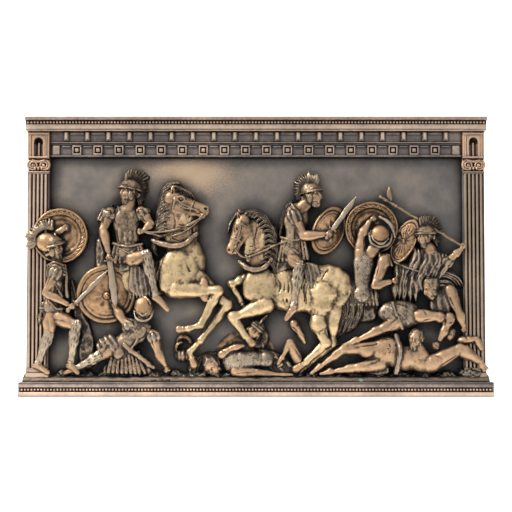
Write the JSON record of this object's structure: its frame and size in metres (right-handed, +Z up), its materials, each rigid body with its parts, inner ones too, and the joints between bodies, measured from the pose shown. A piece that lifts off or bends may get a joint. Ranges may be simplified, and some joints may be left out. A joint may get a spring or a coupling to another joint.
{
  "type": "relief plaque",
  "caption": "Cast bronze wall plaque: a high-relief battle of horsemen and foot soldiers in a classical frame with dentils, square bosses and fluted Ionic pilasters.",
  "frame": {"origin": "middle of the flat back, which lies on y = 0", "axes": "+X along the width to the viewer's right, +Y out of the flat back into the wall, +Z up; the relief faces -Y"},
  "size_m": [0.6, 0.044, 0.356],
  "materials": {
    "bronze": "cast copper-toned bronze, brown-black patina in the hollows, rubbed bright on the high points"
  },
  "bodies": {
    "root": {"plaque": "bronze"}
  },
  "joints": []
}
